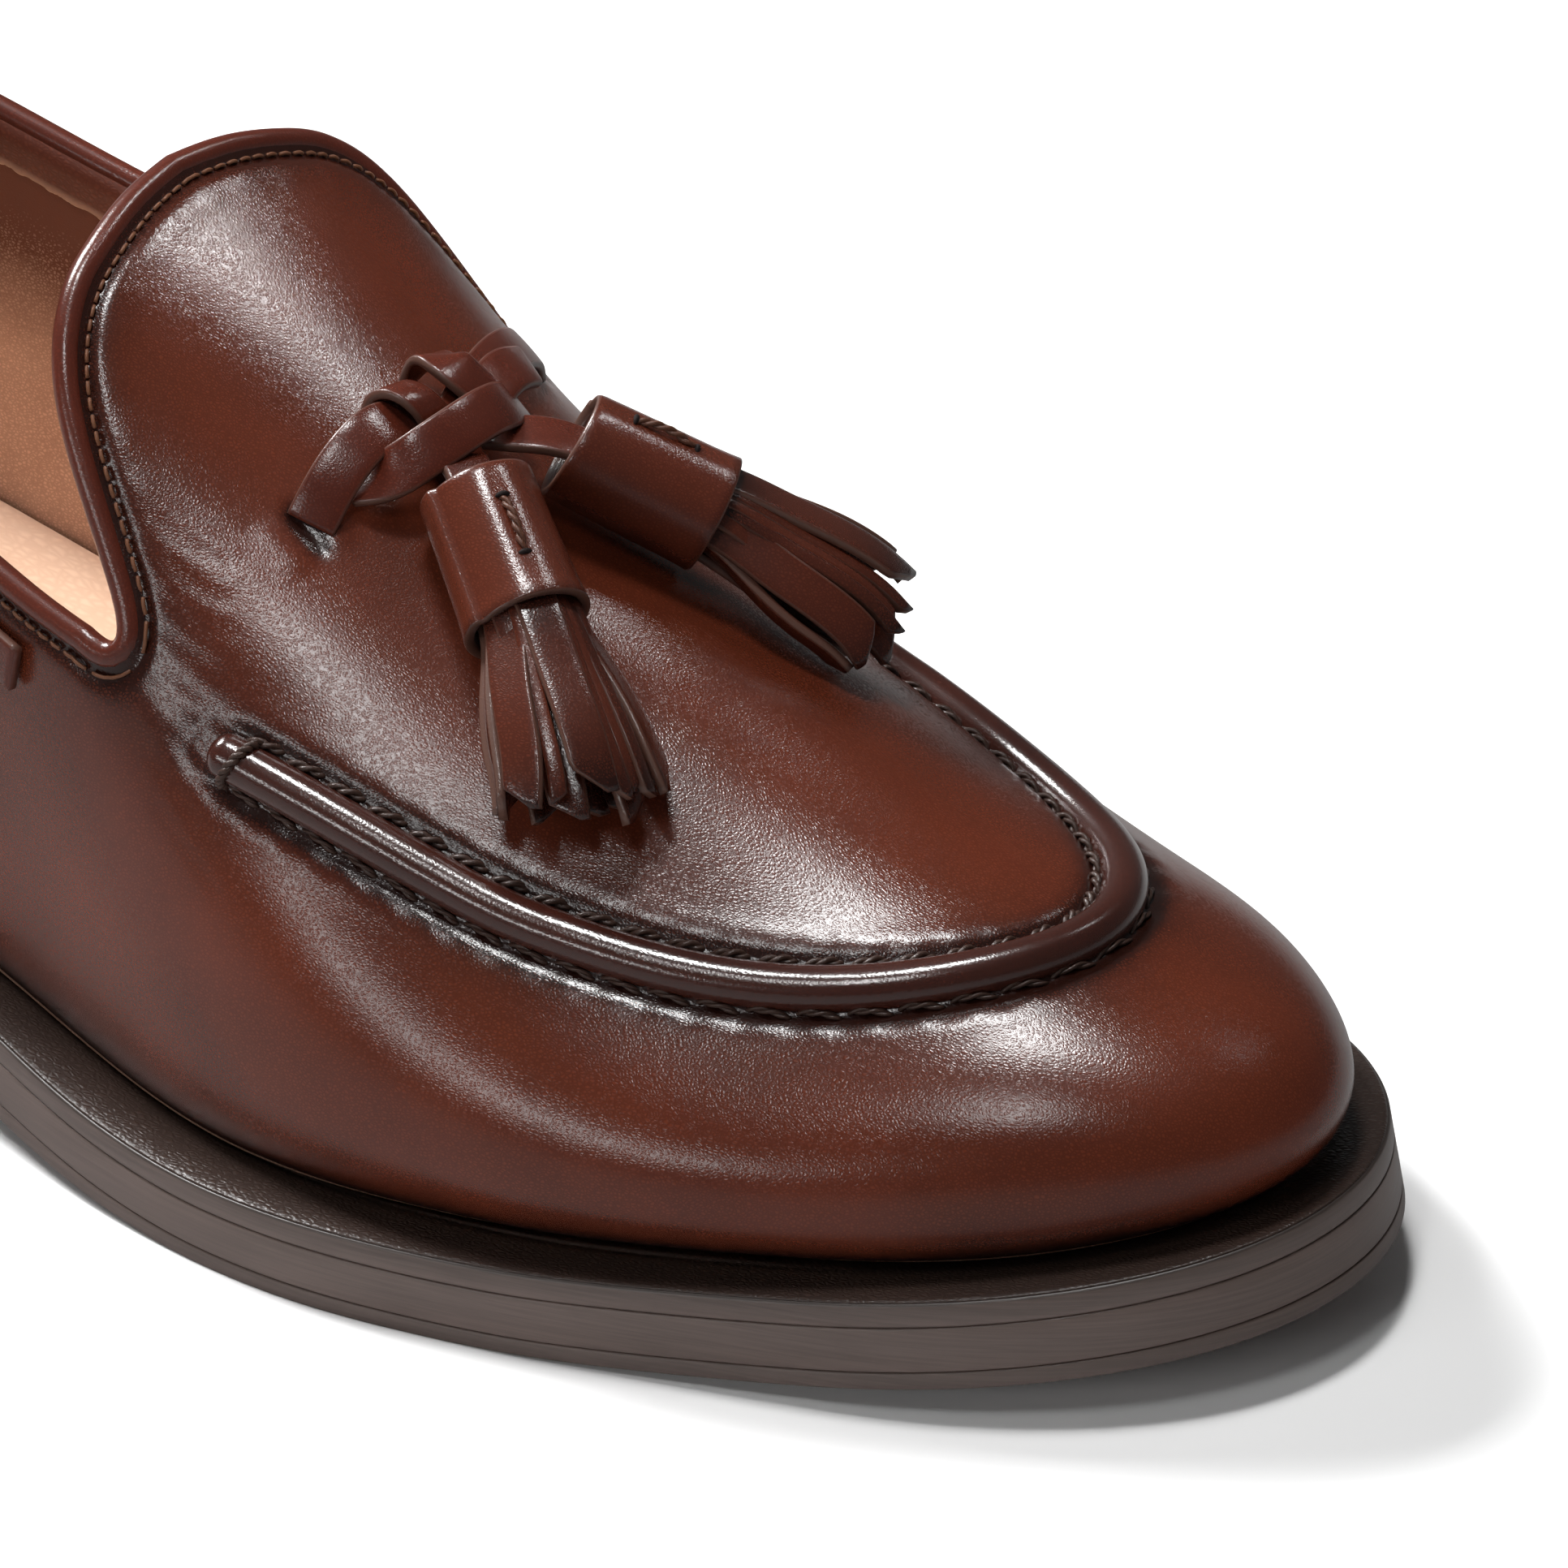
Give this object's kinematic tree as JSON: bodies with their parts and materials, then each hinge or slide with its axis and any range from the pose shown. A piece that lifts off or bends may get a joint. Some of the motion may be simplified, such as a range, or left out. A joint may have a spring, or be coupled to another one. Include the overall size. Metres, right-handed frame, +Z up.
{
  "type": "tassel loafer",
  "caption": "Men's slip-on leather shoe for the right foot, with a raised apron seam, a knotted lace ending in tassels, a welted sole and a stacked heel.",
  "frame": {"origin": "on the floor, at the middle of the shoe's footprint box", "axes": "+X from the heel to the toe, +Y towards the inner side of the foot, +Z up"},
  "size_m": [0.2942, 0.1068, 0.1083],
  "materials": {
    "calf": "polished chestnut calf with a fine grain",
    "dark_calf": "dark brown calf, rolled and burnished to a gloss",
    "welt_leather": "near-black brown, coarse grained and waxed",
    "sole_leather": "dark grey-brown edge dressing, satin, with fine streaks along the edge",
    "sole_rubber": "matte brown rubber",
    "tan_leather": "undyed light tan leather, soft and matte",
    "lining": "soft brown lining leather, matte",
    "stitch_thread": "waxed two-ply dark brown thread"
  },
  "bodies": {
    "root": {"upper": "calf", "collar_binding": "dark_calf", "apron_roll": "dark_calf", "insole": "tan_leather", "welt": "welt_leather", "midsole": "sole_leather", "outsole": "sole_rubber", "heel_stack": "sole_leather", "top_lift": "sole_rubber", "lace_run_lateral": "calf", "lace_run_medial": "calf", "lace_run_heel": "calf", "lace_wrap": "dark_calf", "lace_lateral": "dark_calf", "lace_medial": "dark_calf", "tassel_lateral": "calf", "tassel_medial": "calf"}
  },
  "joints": []
}
